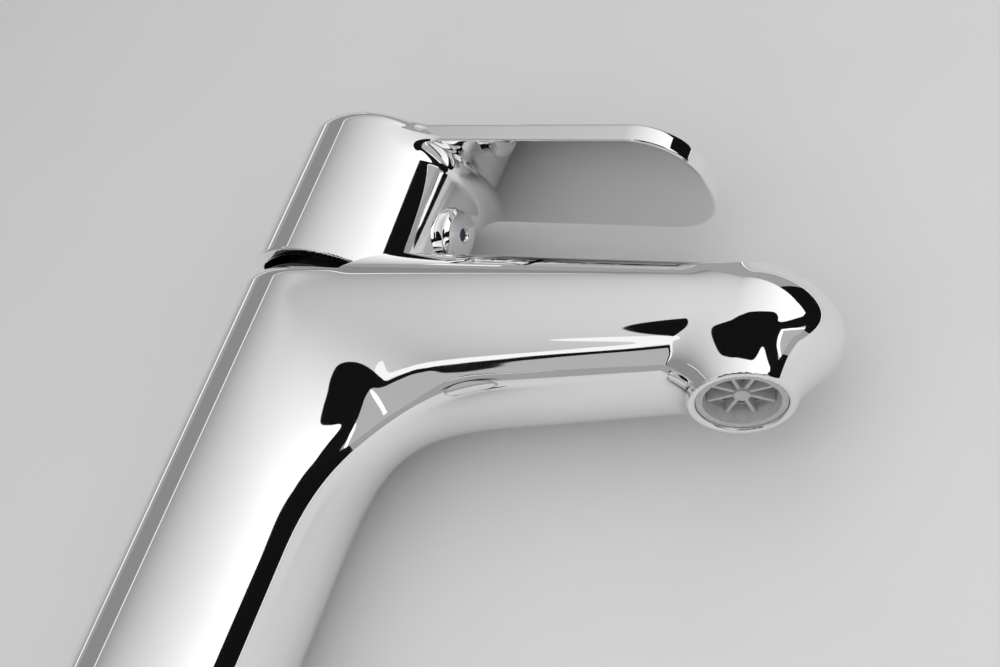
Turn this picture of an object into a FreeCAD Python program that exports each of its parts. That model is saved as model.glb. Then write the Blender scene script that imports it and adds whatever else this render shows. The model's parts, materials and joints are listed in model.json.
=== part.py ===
"""Single-lever bathroom mixer faucet for one deck hole.

Millimetres, +Z up. The origin is the centre of the deck hole on the deck's top face, the body stands on it
round the Z axis, and the spout and the lever point along +X.
"""
import FreeCAD, Part
import math
import os
import re
import Sketcher

Vector = FreeCAD.Vector

# Driving dimensions: name, value, meaning. Lengths in mm, angles in degrees.
DIMENSIONS = (
    ("body_radius", 25.0, "upright body"),
    ("seal_height", 2.0, "rubber seal between the deck and the body"),
    ("rim_height", 132.0, "top rim of the body"),
    ("seam_height", 135.0, "lower edge of the lever's cap"),
    ("recess_radius", 26.0, "round recess in the body that the cap turns in"),
    ("spout_angle", 4.86, "rise of the spout's axis"),
    ("spout_root_height", 122.1, "height at which the spout's axis leaves the body's axis"),
    ("spout_root_radius", 24.25, "spout at the body's axis"),
    ("spout_end_radius", 16.95, "spout at the start of the nose"),
    ("spout_length", 104.0, "spout from the body's axis to the nose"),
    ("spout_wall", 4.0, "wall of the spout"),
    ("hollow_start", 52.0, "hollow of the spout, from the body's axis"),
    ("hollow_end", 99.0, "end of that hollow"),
    ("rise_x", 6.0, "foot of the channel from the mixing chamber to that hollow"),
    ("rise_height", 80.0, "foot of the same channel"),
    ("rise_length", 70.0, "the same channel"),
    ("rise_radius", 4.8, "the same channel"),
    ("rise_lean", 46.0, "lean of the same channel"),
    ("elbow_radius", 34.0, "fillet under the spout"),
    ("elbow_top_radius", 2.0, "fillet over the spout"),
    ("nose_start", 99.4, "centre of the nose's ellipsoid along the spout"),
    ("nose_length", 38.3, "half length of the nose's ellipsoid"),
    ("nose_radius", 17.2, "half thickness of the nose's ellipsoid"),
    ("outlet_x", 118.8, "centre of the outlet's rim"),
    ("outlet_height", 114.4, "centre of the outlet's rim"),
    ("outlet_tilt", 18.8, "lean of the water jet away from the body"),
    ("outlet_radius", 11.75, "outside of the outlet's boss"),
    ("outlet_fillet", 4.0, "fillet round the outlet's boss"),
    ("thread_radius", 10.25, "bore that holds the aerator"),
    ("thread_depth", 14.0, "depth of that bore"),
    ("throat_radius", 7.5, "waterway above the aerator"),
    ("cavity_radius", 20.8, "hollow under the body for the hose ends"),
    ("web_bottom", 16.0, "underside of the web that takes hoses and stud"),
    ("web_top", 28.0, "top of that web"),
    ("chamber_radius", 21.3, "mixing chamber in the body"),
    ("chamber_top", 92.0, "top of the mixing chamber"),
    ("seat_height", 100.0, "face that the cartridge sits on"),
    ("pocket_radius", 17.6, "pocket of the cartridge"),
    ("nut_bore_radius", 19.1, "threaded mouth of that pocket"),
    ("nut_bore_bottom", 118.0, "lower end of the threaded mouth"),
    ("inlet_x", 4.5, "hot and cold inlets"),
    ("inlet_y", 7.0, "hot and cold inlets"),
    ("inlet_radius", 4.5, "threaded socket of a hose end"),
    ("channel_radius", 3.2, "waterway of one inlet"),
    ("riser_radius", 5.8, "wall round that waterway"),
    ("outlet_port_x", -7.0, "port that the mixed water leaves the cartridge by"),
    ("outlet_port_radius", 3.6, "the same port"),
    ("inlet_port_radius", 2.6, "inlet ports in the discs"),
    ("stud_x", -11.0, "mounting stud"),
    ("stud_radius", 4.0, "mounting stud"),
    ("stud_top", 26.0, "upper end of the stud"),
    ("stud_bottom", -61.0, "lower end of the stud"),
    ("deck_gap", 25.0, "room for the deck between seal and washer"),
    ("washer_radius", 22.0, "horseshoe washers"),
    ("rubber_thickness", 3.0, "rubber horseshoe washer"),
    ("steel_thickness", 2.0, "steel horseshoe washer"),
    ("collar_radius", 16.75, "centring collar of the base seal"),
    ("collar_height", 4.0, "depth of the collar in the deck hole"),
    ("collar_wall", 1.6, "wall of the collar"),
    ("washer_gap", 13.5, "half width of the washers' opening"),
    ("nut_corner", 7.5, "nut, across its corners from the middle"),
    ("nut_height", 8.0, "nut"),
    ("cap_top", 180.5, "flat top of the lever's cap"),
    ("cap_roof", 5.0, "wall over the hollow of the cap"),
    ("cap_shoulder", 5.5, "rounding of the cap's top edge"),
    ("cap_bore_radius", 22.0, "hollow of the cap"),
    ("paddle_bottom", 174.2, "underside of the paddle, carried back to the body's axis"),
    ("paddle_thickness", 5.5, "paddle"),
    ("paddle_droop", 0.8, "fall of the paddle towards its tip"),
    ("paddle_half_width", 18.0, "paddle"),
    ("paddle_end", 92.0, "tip of the paddle"),
    ("paddle_corner", 15.0, "rounded corners of the tip, seen from above"),
    ("paddle_flare", 5.0, "fillet between the cap's wall and the paddle"),
    ("relief_x", -12.5, "where the cap's lower edge starts to rise at the back"),
    ("relief_angle", 16.0, "slope of that cut"),
    ("boss_radius", 9.5, "boss that takes the stem"),
    ("boss_bottom", 150.0, "lower end of the boss"),
    ("screw_height", 157.3, "grub screw and plug"),
    ("screw_radius", 2.5, "grub screw"),
    ("plug_hole_radius", 4.0, "hole for the plug's shank"),
    ("plug_radius", 6.25, "plug's head"),
    ("dot_radius", 2.15, "blue inlay"),
    ("stem_half_width", 4.5, "square part of the stem"),
    ("stem_top", 160.0, "upper end of the stem"),
    ("pivot_x", -3.0, "pin that the stem tilts on"),
    ("pivot_height", 129.0, "the same pin"),
    ("pin_radius", 1.98, "the same pin"),
    ("ball_height", 116.0, "ball at the stem's lower end"),
    ("ball_radius", 3.0, "the same ball"),
    ("housing_radius", 17.4, "cartridge housing, outside"),
    ("housing_bore_radius", 15.5, "cartridge housing, inside"),
    ("housing_top", 124.0, "top of the housing"),
    ("neck_radius", 12.0, "neck of the rotor"),
    ("rotor_radius", 15.2, "flange of the rotor"),
    ("disc_radius", 11.5, "moving disc and its carrier"),
    ("disc_flat", 9.5, "half distance across their flats"),
    ("dome_radius", 19.5, "outside of the dome cover"),
    ("dome_wall", 1.3, "wall of the dome cover"),
    ("fin_count", 8.0, "fins of the flow straightener"),
    ("fin_thickness", 0.8, "one fin"),
)

doc = FreeCAD.newDocument("BathroomMixer")
dims = doc.addObject("Spreadsheet::Sheet", "dims")
pieces = []


def fill_sheet():
    """Write every driving dimension into the sheet: name, value and meaning."""
    for row, (name, number, meaning) in enumerate(DIMENSIONS, start=1):
        dims.set("A%d" % row, name)
        dims.set("B%d" % row, str(number))
        dims.set("C%d" % row, meaning)
        dims.setAlias("B%d" % row, name)
    doc.recompute()


def linked(expression):
    """Point each dimension's name in an expression at the sheet."""
    return re.sub(r"\b[a-z]+(?:_[a-z]+)+\b", lambda name: "dims." + name.group(), str(expression))


def size(expression):
    """Number that an expression of the sheet's dimensions stands for."""
    return float(dims.evalExpression(linked(expression)))


def bind(item, **expressions):
    """Bind properties of an object to expressions."""
    for name, expression in expressions.items():
        item.setExpression(name, linked(expression))


def place(item, at=("0", "0", "0"), turn=None):
    """Place an object; turn is an axis letter and an angle in degrees."""
    axes = {"X": Vector(1, 0, 0), "Y": Vector(0, 1, 0), "Z": Vector(0, 0, 1)}
    if turn:
        item.Placement = FreeCAD.Placement(Vector(), FreeCAD.Rotation(axes[turn[0]], 1.0))
        item.setExpression("Placement.Rotation.Angle", linked(turn[1]))
    for letter, expression in zip("xyz", at):
        item.setExpression("Placement.Base." + letter, linked(expression))
    return item


def cylinder(radius, height, at=("0", "0", "0"), turn=None):
    solid = doc.addObject("Part::Cylinder", "Cylinder")
    bind(solid, Radius=radius, Height=height)
    return place(solid, at, turn)


def box(low, high):
    """Box between two corners."""
    solid = doc.addObject("Part::Box", "Box")
    for name, start, end in zip(("Length", "Width", "Height"), low, high):
        solid.setExpression(name, linked("(%s) - (%s)" % (end, start)))
    return place(solid, low)


def fuse(*solids):
    result = doc.addObject("Part::MultiFuse", "Fusion")
    result.Shapes = list(solids)
    return result


def cut(base, *tools):
    result = doc.addObject("Part::Cut", "Cut")
    result.Base = base
    result.Tool = tools[0] if len(tools) == 1 else fuse(*tools)
    return result


def common(first, second):
    result = doc.addObject("Part::MultiCommon", "Common")
    result.Shapes = [first, second]
    return result


def rounded(base, chosen):
    """Fillet the edges of base for which chosen(edge) gives the radii at its two ends."""
    doc.recompute()
    result = doc.addObject("Part::Fillet", "Fillet")
    result.Base = base
    radii = [(number, chosen(edge)) for number, edge in enumerate(base.Shape.Edges, start=1)]
    result.Edges = [(number, pair[0], pair[1]) for number, pair in radii if pair]
    doc.recompute()
    return result


def finish(item, label):
    """Name a finished piece and list it."""
    item.Label = label
    pieces.append(item)
    return item


def origin_plane(body, role):
    return next(plane for plane in body.Origin.OriginFeatures if plane.Role == role)


def new_sketch(body, role):
    sketch = body.newObject("Sketcher::SketchObject", body.Name + "Sketch")
    sketch.AttachmentSupport = (origin_plane(body, role), [""])
    sketch.MapMode = "FlatFace"
    return sketch


def pin_point(sketch, geometry, point, x, y):
    """Hold a point of the sketch at two expressions."""
    for kind, axis, expression in (("DistanceX", -2, x), ("DistanceY", -1, y)):
        number = size(expression)
        if abs(number) < 1e-9:
            sketch.addConstraint(Sketcher.Constraint("PointOnObject", geometry, point, axis))
        else:
            index = sketch.addConstraint(Sketcher.Constraint(kind, -1, 1, geometry, point, number))
            sketch.setExpression("Constraints[%d]" % index, linked(expression))


def add_outline(sketch, corners):
    """Closed outline of straight lines through corners, each a pair of expressions."""
    points = [Vector(size(x), size(y), 0) for x, y in corners]
    first = sketch.GeometryCount
    count = len(points)
    for index, point in enumerate(points):
        sketch.addGeometry(Part.LineSegment(point, points[(index + 1) % count]), False)
    for index in range(count):
        follower = first + (index + 1) % count
        sketch.addConstraint(Sketcher.Constraint("Coincident", first + index, 2, follower, 1))
    for index, (x, y) in enumerate(corners):
        pin_point(sketch, first + index, 1, x, y)


def add_circle(sketch, x, y, radius):
    circle = Part.Circle(Vector(size(x), size(y), 0), Vector(0, 0, 1), size(radius))
    geometry = sketch.addGeometry(circle, False)
    index = sketch.addConstraint(Sketcher.Constraint("Radius", geometry, size(radius)))
    sketch.setExpression("Constraints[%d]" % index, linked(radius))
    pin_point(sketch, geometry, 3, x, y)


def turned(label, corners, at=("0", "0", "0"), turn=None):
    """Piece turned about its own Z axis from an outline of (radius, height) corners."""
    body = doc.addObject("PartDesign::Body", "Body")
    sketch = new_sketch(body, "XZ_Plane")
    add_outline(sketch, corners)
    revolution = body.newObject("PartDesign::Revolution", body.Name + "Revolution")
    revolution.Profile = sketch
    revolution.ReferenceAxis = (sketch, ["V_Axis"])
    revolution.Angle = 360
    place(body, at, turn)
    return finish(body, label) if label else body


def plate(label, height, circles=(), outline=None, at=("0", "0", "0"), turn=None):
    """Flat piece padded upwards from circles (x, y, radius), the first one outside, or from an outline."""
    body = doc.addObject("PartDesign::Body", "Body")
    sketch = new_sketch(body, "XY_Plane")
    if outline:
        add_outline(sketch, outline)
    for x, y, radius in circles:
        add_circle(sketch, x, y, radius)
    pad = body.newObject("PartDesign::Pad", body.Name + "Pad")
    pad.Profile = sketch
    bind(pad, Length=height)
    place(body, at, turn)
    return finish(body, label) if label else body


def ring_of(count, radius):
    """Positions of count holes evenly round a circle, as expressions."""
    angles = [360.0 * index / count for index in range(count)]
    return [("%s * cos(%.6f)" % (radius, angle), "%s * sin(%.6f)" % (radius, angle)) for angle in angles]


def round_tube(outer, inner, low, high):
    """Corners of a plain ring between two radii and two heights."""
    return [(inner, low), (outer, low), (outer, high), (inner, high)]


def make_outer_shell():
    """Upright body, spout, elbow and nose, with the outlet's boss, as one solid casting."""
    tall = 60.0
    upright = cylinder("body_radius", "rim_height - seal_height + %g" % tall, ("0", "0", "seal_height"))
    spout = doc.addObject("Part::Cone", "Spout")
    bind(spout, Radius1="spout_root_radius", Radius2="spout_end_radius", Height="spout_length")
    place(spout, ("0", "0", "spout_root_height"), ("Y", "90 - spout_angle"))

    def elbow_radii(edge):
        """The two halves of the junction loop run from over the spout to under it."""
        span = edge.BoundBox
        if edge.Closed or span.YLength < 20 or span.ZLength < 20:
            return None
        radii = size("elbow_top_radius"), size("elbow_radius")
        return radii if edge.valueAt(edge.FirstParameter).z > size("spout_root_height") else radii[::-1]

    elbow = rounded(fuse(upright, spout), elbow_radii)
    nose = doc.addObject("Part::Ellipsoid", "Nose")
    bind(nose, Radius1="nose_radius", Radius2="nose_length", Radius3="nose_radius")
    along = "nose_start * %s(spout_angle)"
    place(nose, (along % "cos", "0", "spout_root_height + " + along % "sin"), ("Y", "-spout_angle"))
    depth = 20.0
    outlet = cylinder("outlet_radius", depth, ("outlet_x", "0", "outlet_height"), ("Y", "-outlet_tilt"))

    def boss_radii(edge):
        """The two halves of the loop between the boss and the nose."""
        middle = Vector(size("outlet_x"), 0, size("outlet_height"))
        near = (edge.BoundBox.Center - middle).Length < size("outlet_radius")
        wide = edge.BoundBox.YLength > 0.9 * size("outlet_radius")
        return (size("outlet_fillet"),) * 2 if near and wide and not edge.Closed else None

    return rounded(fuse(elbow, nose, outlet), boss_radii)


def make_body():
    """Brass casting: shell, cartridge pocket, inlets, mixing chamber and spout waterway."""
    inlets = [("inlet_x", "inlet_y"), ("inlet_x", "-inlet_y")]
    chamber = cylinder("chamber_radius", "chamber_top - web_top", ("0", "0", "web_top"))
    risers = [cylinder("riser_radius", "chamber_top - web_top", (x, y, "web_top")) for x, y in inlets]
    tools = [
        cut(chamber, *risers),
        cylinder("recess_radius", "80", ("0", "0", "rim_height")),
        cylinder("pocket_radius", "rim_height - seat_height + 1", ("0", "0", "seat_height")),
        cylinder("nut_bore_radius", "rim_height - nut_bore_bottom + 1", ("0", "0", "nut_bore_bottom")),
        cylinder("cavity_radius", "web_bottom - seal_height", ("0", "0", "seal_height")),
        cylinder("stud_radius", "stud_top - web_bottom + 1", ("stud_x", "0", "web_bottom - 1")),
        cylinder("outlet_port_radius", "12", ("outlet_port_x", "0", "chamber_top - 2")),
    ]
    for x, y in inlets:
        tools.append(cylinder("inlet_radius", "web_top - web_bottom + 1", (x, y, "web_bottom - 1")))
        tools.append(cylinder("channel_radius", "seat_height - web_top + 2", (x, y, "web_top - 1")))
    for side in ("", "-"):
        tools.append(cylinder("1.6", "4", ("0", side + "13.5", "seat_height - 3")))
    tools += make_spout_waterway()
    finish(cut(make_outer_shell(), *tools), "body")


def make_spout_waterway():
    """Rising channel out of the chamber, hollow of the spout, throat and the aerator's bore."""
    rise = cylinder("rise_radius", "rise_length", ("rise_x", "0", "rise_height"), ("Y", "rise_lean"))
    hollow = doc.addObject("Part::Cone", "SpoutHollow")
    slope = "(spout_root_radius - spout_end_radius) / spout_length"
    inner = "spout_root_radius - spout_wall - %s * " + slope
    bind(hollow, Radius1=inner % "hollow_start", Radius2=inner % "hollow_end", Height="hollow_end - hollow_start")
    along = "hollow_start * %s(spout_angle)"
    at = (along % "cos", "0", "spout_root_height + " + along % "sin")
    place(hollow, at, ("Y", "90 - spout_angle"))
    link = cylinder("7", "16", ("97", "0", "133.5"), ("Y", "90"))
    centre = ("outlet_x", "0", "outlet_height")
    mouth = cylinder("thread_radius", "thread_depth + 2", centre, ("Y", "-outlet_tilt"))
    mouth.setExpression("Placement.Base.x", linked("outlet_x + 2 * sin(outlet_tilt)"))
    mouth.setExpression("Placement.Base.z", linked("outlet_height - 2 * cos(outlet_tilt)"))
    throat = cylinder("throat_radius", "thread_depth + 10", centre, ("Y", "-outlet_tilt"))
    return [rise, hollow, link, mouth, throat]


def make_mounting():
    """Seal, stud, horseshoe washers and nut that hold the body to the deck."""
    turned("base_seal", [
        ("collar_radius - collar_wall", "-collar_height"), ("collar_radius", "-collar_height"),
        ("collar_radius", "0"), ("body_radius - 0.4", "0"), ("body_radius - 0.4", "seal_height"),
        ("collar_radius - collar_wall", "seal_height")])
    radius, chamfer = "stud_radius - 0.03", "0.8"
    turned("mounting_stud", [
        ("0", "stud_bottom"), ("%s - %s" % (radius, chamfer), "stud_bottom"),
        (radius, "stud_bottom + " + chamfer), (radius, "stud_top - " + chamfer),
        ("%s - %s" % (radius, chamfer), "stud_top"), ("0", "stud_top")], ("stud_x", "0", "0"))
    rubber_bottom = "-deck_gap - rubber_thickness"
    steel_bottom = rubber_bottom + " - steel_thickness"
    make_horseshoe("rubber_washer", rubber_bottom, "rubber_thickness")
    make_horseshoe("steel_washer", steel_bottom, "steel_thickness")
    nut_bottom = steel_bottom + " - nut_height"
    hexagon = plate(None, "nut_height", outline=ring_of(6, "nut_corner"), at=("stud_x", "0", nut_bottom))
    bevel = doc.addObject("Part::Cone", "NutBevel")
    bind(bevel, Radius1="nut_corner - 0.9", Radius2="nut_corner - 0.9 + 2 * nut_height", Height="nut_height")
    place(bevel, ("stud_x", "0", nut_bottom))
    bore = cylinder("stud_radius", "nut_height + 2", ("stud_x", "0", nut_bottom + " - 1"))
    finish(cut(common(hexagon, bevel), bore), "stud_nut")


def make_horseshoe(label, bottom, thickness):
    """Round washer open towards +X, so that it passes the hoses."""
    disc = cylinder("washer_radius", thickness, ("0", "0", bottom))
    gap_end = cylinder("washer_gap", thickness, ("inlet_x + 3", "0", bottom))
    gap = box(("inlet_x + 3", "-washer_gap", bottom), ("washer_radius + 2", "washer_gap", bottom + " + " + thickness))
    hole = cylinder("stud_radius + 0.2", thickness, ("stud_x", "0", bottom))
    finish(cut(disc, gap_end, gap, hole), label)


def make_cartridge_shell():
    """Base with its seals and ports, housing, hot-water stop and ring nut."""
    groove = "5"
    ports = [("inlet_x", "inlet_y"), ("inlet_x", "-inlet_y"), ("outlet_port_x", "0")]
    base = turned(None, [
        ("0", "seat_height + 0.1"), ("17.3", "seat_height + 0.1"), ("17.3", "seat_height + 3"),
        ("15.3", "seat_height + 3"), ("15.3", "seat_height + 5"), ("0", "seat_height + 5")])
    pins = [cylinder("1.5", "3", ("0", side + "13.5", "seat_height - 2.4")) for side in ("", "-")]
    holes = [cylinder("inlet_port_radius", "6", (x, y, "seat_height")) for x, y in ports[:2]]
    holes.append(cylinder("outlet_port_radius", "6", ports[2] + ("seat_height",)))
    holes += [cylinder(groove, "1.7", (x, y, "seat_height")) for x, y in ports]
    finish(cut(fuse(base, *pins), *holes), "cartridge_base")
    ring = round_tube("4.9", "3.8", "0.02", "1.65")
    rings = [turned(None, ring, (x, y, "seat_height")) for x, y in ports]
    finish(fuse(*rings), "cartridge_seals")
    top = "housing_top - 1.7"
    turned("cartridge_housing", [
        ("housing_bore_radius", "seat_height + 3.05"), ("housing_radius", "seat_height + 3.05"),
        ("housing_radius", "housing_top - 0.8"), ("housing_radius - 0.8", "housing_top"),
        ("neck_radius + 0.3", "housing_top"), ("neck_radius + 0.3", top), ("housing_bore_radius", top)])
    stop_ring = turned(None, round_tube("14.7", "neck_radius + 0.4", "housing_top + 0.05", "housing_top + 2.5"))
    notch = box(("10", "-5", "housing_top + 1"), ("16", "5", "housing_top + 3"))
    finish(cut(stop_ring, notch), "limiter_ring")
    low, high = "housing_top + 0.05", "housing_top + 6.6"
    nut = turned(None, [
        ("15", low), ("nut_bore_radius - 0.1", low), ("nut_bore_radius - 0.1", high),
        ("neck_radius + 0.8", high), ("neck_radius + 0.8", "housing_top + 3"), ("15", "housing_top + 3")])
    slots = []
    for index in range(3):
        slot = doc.addObject("Part::Box", "NutSlot")
        slot.Length, slot.Width, slot.Height = 40, 4, 2
        turn = FreeCAD.Rotation(Vector(0, 0, 1), 60.0 * index)
        height = size(high) - 2
        slot.Placement = FreeCAD.Placement(turn.multVec(Vector(-20, -2, 0)) + Vector(0, 0, height), turn)
        slots.append(slot)
    finish(cut(nut, *slots), "cartridge_nut")


def make_discs():
    """Fixed and moving ceramic discs and the carrier that slides the moving one."""
    low = "seat_height + 5"
    plate("fixed_disc", "3.5", [
        ("0", "0", "15.2"), ("inlet_x", "inlet_y", "inlet_port_radius"),
        ("inlet_x", "-inlet_y", "inlet_port_radius"), ("outlet_port_x", "0", "outlet_port_radius")],
        at=("0", "0", low))

    def flat_sided(bottom, top):
        disc = cylinder("disc_radius", "(%s) - (%s)" % (top, bottom), ("0", "0", bottom))
        return common(disc, box(("-20", "-disc_flat", bottom), ("20", "disc_flat", top)))

    moving_low, moving_top = low + " + 3.6", low + " + 7"
    recess = box(("-8.5", "-6.5", moving_low), ("1.2", "6.5", moving_low + " + 1.6"))
    finish(cut(flat_sided(moving_low, moving_top), recess), "moving_disc")
    socket_bottom = "ball_height - ball_radius - 0.3"
    socket = cylinder("ball_radius + 0.1", "8", ("pivot_x", "0", socket_bottom))
    finish(cut(flat_sided(moving_top + " + 0.05", low + " + 12.2"), socket), "disc_carrier")


def make_rotor():
    """Turning guide with the pivot pin: skirt with a channel for the carrier, flange and neck."""
    skirt_low, flange_low, flange_top, top = "112.6", "118", "122", "pivot_height + 2.5"
    blank = turned(None, [
        ("0", skirt_low), ("rotor_radius", skirt_low), ("rotor_radius", flange_top),
        ("neck_radius", flange_top), ("neck_radius", top), ("0", top)])
    half = "disc_flat + 0.15"
    channel = box(("-20", "-(%s)" % half, skirt_low), ("20", half, flange_low))
    slot = box(("-9", "-3.15", skirt_low), ("6.5", "3.15", top + " + 1"))
    bore = cylinder("pin_radius + 0.02", "40", ("pivot_x", "20", "pivot_height"), ("X", "90"))
    finish(cut(blank, channel, slot, bore), "rotor")
    finish(cylinder("pin_radius", "22", ("pivot_x", "11", "pivot_height"), ("X", "90")), "pivot_pin")


def make_stem():
    """Spindle: square top for the lever, flat tongue on the pin and a ball at the lower end."""
    half = "stem_half_width"
    square = box(("-" + half, "-" + half, "133"), (half, half, "stem_top"))
    tongue = box(("-6.5", "-3", "121"), ("2", "3", "134"))
    arm = cylinder("2.4", "122 - ball_height", ("pivot_x", "0", "ball_height"))
    ball = doc.addObject("Part::Sphere", "Ball")
    bind(ball, Radius="ball_radius")
    place(ball, ("pivot_x", "0", "ball_height"))
    bore = cylinder("pin_radius + 0.07", "20", ("pivot_x", "10", "pivot_height"), ("X", "90"))
    finish(cut(fuse(square, tongue, arm, ball), bore), "stem")


def make_dome():
    """Spherical cover between the body's rim and the stem; the cap swings round it."""
    foot, land = "rim_height + 0.05", "rim_height + 1.05"
    centre = "rim_height - 3"
    outer = "dome_radius"
    inner = "dome_radius - dome_wall"
    arc = [13, 24, 35, 46, 54]
    over = [(outer + " * cos(%g)" % a, centre + " + " + outer + " * sin(%g)" % a) for a in arc]
    under = [("(%s) * cos(%g)" % (inner, a), "%s + (%s) * sin(%g)" % (centre, inner, a)) for a in arc[::-1]]
    turned("dome_cover", [
        ("17.7", "rim_height - 1.2"), ("nut_bore_radius - 0.2", "rim_height - 1.2"),
        ("nut_bore_radius - 0.2", foot), ("21.4", foot), ("21.4", land)] + over + under)


def make_lever():
    """Handle: round cap and flat paddle with the stem's boss and the screw's hole."""
    shoulder = rounded(
        cylinder("body_radius", "cap_top - seam_height", ("0", "0", "seam_height")),
        lambda edge: (size("cap_shoulder"),) * 2 if edge.BoundBox.ZMin > size("cap_top") - 1 else None)
    half, thickness = "paddle_half_width", "paddle_thickness"
    corner_x, corner_y = "paddle_end - paddle_corner", "paddle_half_width - paddle_corner"
    blank = fuse(
        box(("10", "-" + half, "0"), (corner_x, half, thickness)),
        box((corner_x, "-(%s)" % corner_y, "0"), ("paddle_end", corner_y, thickness)),
        cylinder("paddle_corner", thickness, (corner_x, corner_y, "0")),
        cylinder("paddle_corner", thickness, (corner_x, "-(%s)" % corner_y, "0")))
    place(blank, ("0", "0", "paddle_bottom"), ("Y", "paddle_droop"))
    flare_start = "paddle_bottom - paddle_flare"
    steps = [0, 15, 30, 45, 60, 75, 90]
    reach = "body_radius + paddle_flare * (1 - cos(%g))"
    climb = flare_start + " + paddle_flare * sin(%g)"
    flare = turned(None, [("22", flare_start)] + [(reach % a, climb % a) for a in steps] + [("22", "paddle_bottom")])
    web = common(flare, box(("5", "-" + half, flare_start), ("40", half, "paddle_bottom")))
    boss = cylinder("boss_radius", "cap_top - cap_roof - boss_bottom + 1", ("0", "0", "boss_bottom"))
    tunnel = cylinder("5.5", "19", ("4", "0", "screw_height"), ("Y", "90"))
    bore = cylinder("cap_bore_radius", "cap_top - cap_roof - seam_height + 1", ("0", "0", "seam_height - 1"))
    shell = cut(fuse(shoulder, blank, web), bore)
    half_socket = "stem_half_width + 0.05"
    socket = box(("-(%s)" % half_socket, "-(%s)" % half_socket, "boss_bottom - 1"),
                 (half_socket, half_socket, "stem_top + 1"))
    thread = cylinder("screw_radius", "16", ("4", "0", "screw_height"), ("Y", "90"))
    access = cylinder("plug_hole_radius", "14", ("15", "0", "screw_height"), ("Y", "90"))
    wedge = doc.addObject("Part::Box", "ReliefWedge")
    wedge.Length, wedge.Width, wedge.Height = 40, 60, 20
    place(wedge, ("relief_x - 40 * cos(relief_angle) - 20 * sin(relief_angle)", "-30",
                  "seam_height + 40 * sin(relief_angle) - 20 * cos(relief_angle)"), ("Y", "relief_angle"))
    finish(cut(fuse(shell, boss, tunnel), socket, thread, access, wedge), "lever")


def make_lever_trim():
    """Grub screw, plug and blue inlay on the cap's front."""
    screw = cylinder("screw_radius - 0.03", "8.4", ("stem_half_width + 0.06", "0", "screw_height"), ("Y", "90"))
    key = plate(None, "4", outline=ring_of(6, "1.45"), at=("10", "0", "screw_height"), turn=("Y", "90"))
    finish(cut(screw, key), "grub_screw")
    start = "18"
    head = turned(None, [
        ("0", "6"), ("plug_radius", "6"), ("plug_radius", "8.2"), ("plug_radius - 0.4", "8.9"),
        ("plug_radius - 1.6", "9.6"), ("dot_radius + 0.05", "10"), ("dot_radius + 0.05", "9.3"),
        ("0", "9.3")], (start, "0", "screw_height"), ("Y", "90"))
    wall = cylinder("body_radius + 0.02", "30", ("0", "0", "screw_height - 15"))
    shank = cylinder("plug_hole_radius - 0.08", "8.5", (start, "0", "screw_height"), ("Y", "90"))
    finish(fuse(cut(head, wall), shank), "plug")
    finish(cylinder("dot_radius", "0.6", (start + " + 9.31", "0", "screw_height"), ("Y", "90")), "blue_dot")


def make_aerator():
    """Aerator in the outlet's bore, each piece turned about the tilted axis of the jet."""
    at = ("outlet_x", "0", "outlet_height")
    turn = ("Y", "-outlet_tilt")
    outer = "thread_radius - 0.1"
    turned("aerator_ring", [
        ("8.7", "0.8"), (outer, "0.8"), (outer, "12.2"), ("9.25", "12.2"), ("9.25", "7.2"),
        ("8.2", "7.2"), ("8.2", "4")], at, turn)
    hub = cylinder("1.85", "4.9")
    rim = cut(cylinder("8.15", "1.6", ("0", "0", "3.3")), cylinder("7.55", "1.6", ("0", "0", "3.3")))
    fins = []
    for index in range(int(size("fin_count"))):
        fin = doc.addObject("Part::Box", "Fin")
        bind(fin, Width="fin_thickness")
        fin.Length, fin.Height = 7.0, 4.2
        turning = FreeCAD.Rotation(Vector(0, 0, 1), 360.0 * index / size("fin_count"))
        offset = turning.multVec(Vector(0.9, -size("fin_thickness") / 2, 0.7))
        fin.Placement = FreeCAD.Placement(offset, turning)
        fins.append(fin)
    star = fuse(hub, rim, *fins)
    place(star, ("outlet_x - 2.3 * sin(outlet_tilt)", "0", "outlet_height + 2.3 * cos(outlet_tilt)"), turn)
    finish(star, "flow_straightener")
    jets = [(x, y, "0.7") for x, y in ring_of(16, "6.6") + ring_of(8, "3.6")]
    inward = ("outlet_x - %s * sin(outlet_tilt)", "0", "outlet_height + %s * cos(outlet_tilt)")

    def along(distance):
        return (inward[0] % distance, inward[1], inward[2] % distance)

    plate("jet_plate", "1.4", [("0", "0", "9.15")] + jets, at=along("7.25"), turn=turn)
    holes = [(x, y, "0.55") for x, y in ring_of(20, "6.9") + ring_of(14, "4.9") + ring_of(8, "2.9")]
    strainer = plate(None, "0.8", [("0", "0", "9.15")] + holes, at=along("11.3"), turn=turn)
    skirt = turned(None, round_tube("9.15", "8.35", "8.75", "11.4"), at, turn)
    finish(fuse(strainer, skirt), "aerator_screen")
    turned("aerator_seal", round_tube("thread_radius - 0.1", "7.6", "12.25", "13.9"), at, turn)


def check_and_export():
    """Stop on any failed object or broken shape, then write one STEP file for each piece."""
    doc.recompute()
    for item in doc.Objects:
        if "Invalid" in item.State or "Error" in item.State:
            raise RuntimeError("%s (%s) failed: %s" % (item.Label, item.Name, item.State))
    for piece in pieces:
        shape = piece.Shape
        if shape.isNull() or not shape.isValid() or not shape.Solids:
            raise RuntimeError("%s has a broken shape" % piece.Label)
    os.makedirs("parts", exist_ok=True)
    for piece in pieces:
        piece.Shape.exportStep(os.path.join("parts", piece.Label + ".step"))
        print("%-20s %2d solid(s) %10.1f mm3" % (piece.Label, len(piece.Shape.Solids), piece.Shape.Volume))
    reach = math.sin(math.radians(15.0)) * (size("pivot_height") - size("ball_height"))
    print("%d pieces; the stem's ball moves the carrier %.2f mm at 15 degrees" % (len(pieces), reach))


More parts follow.
